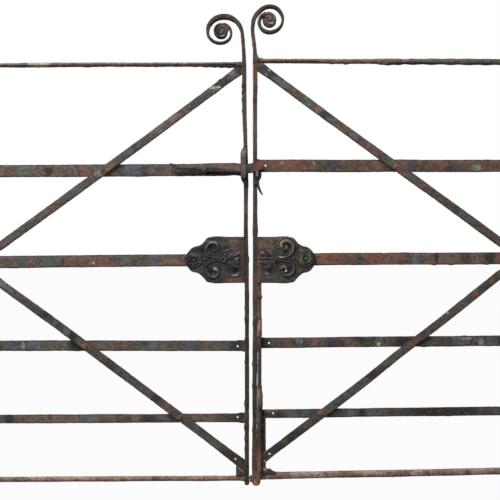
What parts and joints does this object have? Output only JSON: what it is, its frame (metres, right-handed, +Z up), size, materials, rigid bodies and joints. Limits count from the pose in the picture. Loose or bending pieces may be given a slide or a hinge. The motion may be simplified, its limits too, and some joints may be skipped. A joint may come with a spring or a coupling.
{
  "type": "garden gate",
  "caption": "Double garden gate in wrought iron with scrolled heads, half-diamond braces, cast covers, a lever latch and a drop bolt, hung on pintles",
  "frame": {"origin": "on the ground, in the middle of the gateway, midway through the leaves' thickness", "axes": "X runs along the closed gates from the left leaf to the right leaf, Y goes away from the front, where the latch is, and Z goes up"},
  "size_m": [1.624, 0.05, 1.3013],
  "materials": {
    "stile_iron": "flaking dark paint over brown rust",
    "rail_iron": "rust-brown with worn dark paint",
    "brace_iron": "flaking grey-green paint over rust",
    "cast_cover": "weathered black-green casting with rust in its hollows",
    "latch_iron": "brown rust with worn paint",
    "rivet_iron": "brown rust",
    "bolt_iron": "brown rust with worn edges",
    "hinge_iron": "dark paint, rusty where it rubs"
  },
  "bodies": {
    "gateway": {"left_upper_pintle": "hinge_iron", "left_lower_pintle": "hinge_iron", "right_upper_pintle": "hinge_iron", "right_lower_pintle": "hinge_iron"},
    "left_leaf": {"left_meeting_stile": "stile_iron", "left_scroll": "stile_iron", "left_hinge_stile": "stile_iron", "left_top_rail": "rail_iron", "left_second_rail": "rail_iron", "left_middle_rail": "rail_iron", "left_fourth_rail": "rail_iron", "left_fifth_rail": "rail_iron", "left_bottom_rail": "rail_iron", "left_upper_brace": "brace_iron", "left_lower_brace": "brace_iron", "left_brace_rivets": "rivet_iron", "left_cover": "cast_cover", "left_back_plate": "cast_cover", "left_cover_rivets": "rivet_iron", "left_upper_eye": "hinge_iron", "left_lower_eye": "hinge_iron", "latch_pivot": "rivet_iron", "latch_staple": "latch_iron", "latch_staple_rivets": "rivet_iron"},
    "latch": {"latch_bar": "latch_iron"},
    "right_leaf": {"right_meeting_stile": "stile_iron", "right_foot_knob": "stile_iron", "right_scroll": "stile_iron", "right_hinge_stile": "stile_iron", "right_top_rail": "rail_iron", "right_second_rail": "rail_iron", "right_middle_rail": "rail_iron", "right_fourth_rail": "rail_iron", "right_fifth_rail": "rail_iron", "right_bottom_rail": "rail_iron", "right_upper_brace": "brace_iron", "right_lower_brace": "brace_iron", "right_brace_rivets": "rivet_iron", "right_cover": "cast_cover", "right_back_plate": "cast_cover", "right_cover_rivets": "rivet_iron", "right_upper_eye": "hinge_iron", "right_lower_eye": "hinge_iron", "latch_keeper": "latch_iron", "latch_keeper_rivets": "rivet_iron", "bolt_upper_guide": "bolt_iron", "bolt_lower_guide": "bolt_iron"},
    "bolt": {"drop_bolt": "bolt_iron"}
  },
  "joints": [
    {"name": "left_leaf_swing", "type": "hinge", "parent": "gateway", "child": "left_leaf", "pos_m": [-0.783, 0, 0.5], "axis": [0, 0, -1], "range_deg": [0, 90]},
    {"name": "right_leaf_swing", "type": "hinge", "parent": "gateway", "child": "right_leaf", "pos_m": [0.783, 0, 0.5], "axis": [0, 0, -1], "range_deg": [0, 90]},
    {"name": "latch_lift", "type": "hinge", "parent": "left_leaf", "child": "latch", "pos_m": [-0.123, -0.0185, 0.857], "axis": [0, -1, 0], "range_deg": [-3, 12]},
    {"name": "bolt_slide", "type": "slide", "parent": "right_leaf", "child": "bolt", "axis": [0, 0, 1], "range_m": [-0.05, 0]}
  ]
}
